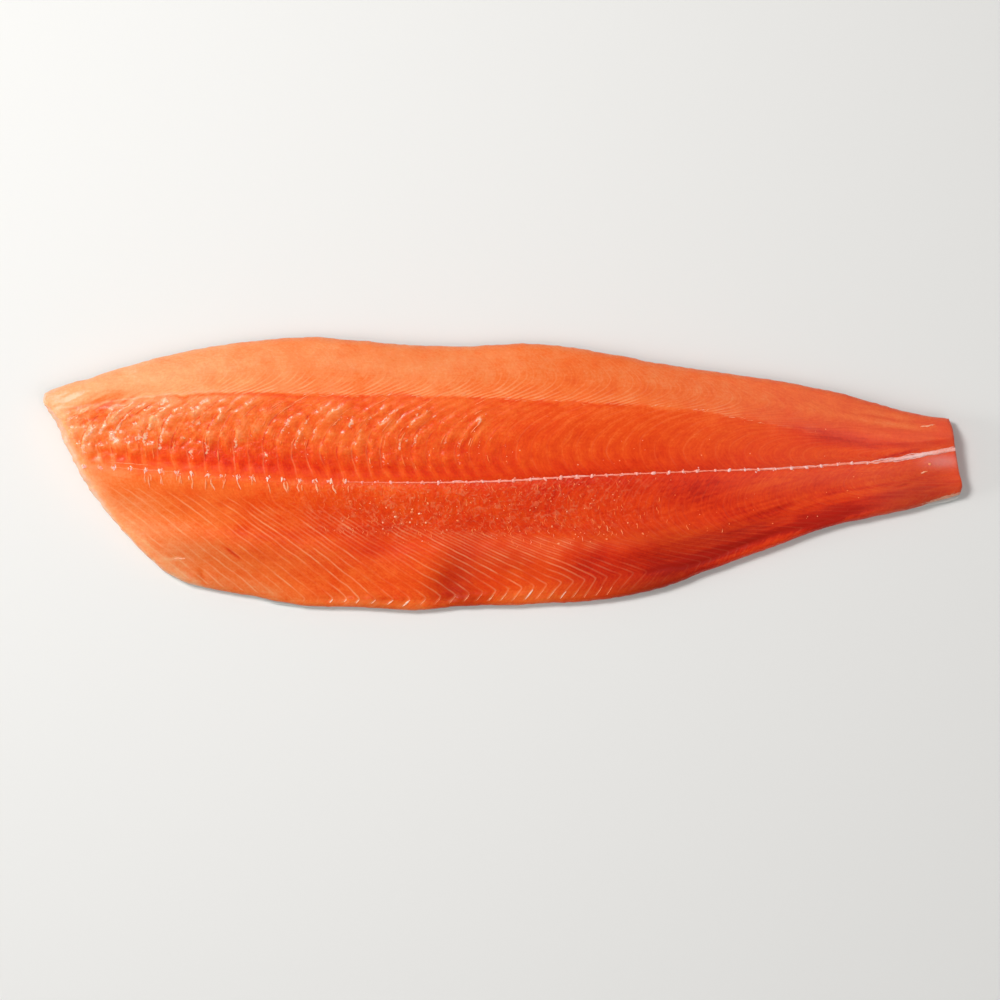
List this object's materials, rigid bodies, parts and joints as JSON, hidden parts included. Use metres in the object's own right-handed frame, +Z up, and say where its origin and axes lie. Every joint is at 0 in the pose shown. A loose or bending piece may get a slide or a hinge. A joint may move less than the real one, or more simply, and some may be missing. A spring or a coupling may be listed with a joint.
{
  "type": "raw salmon fillet",
  "caption": "Whole side of raw salmon with its skin on, lying skin down, with the head end cut on a slant and the tail end cut square.",
  "frame": {"origin": "under the middle of the fillet, on the surface that it lies on", "axes": "+X along the fish towards the tail cut, +Y across it towards the back edge, +Z up out of the flesh"},
  "size_m": [0.5006, 0.1484, 0.0283],
  "materials": {
    "salmon_flesh": null,
    "salmon_skin": null
  },
  "bodies": {
    "root": {"flesh": "salmon_flesh", "skin": "salmon_skin"}
  },
  "joints": []
}
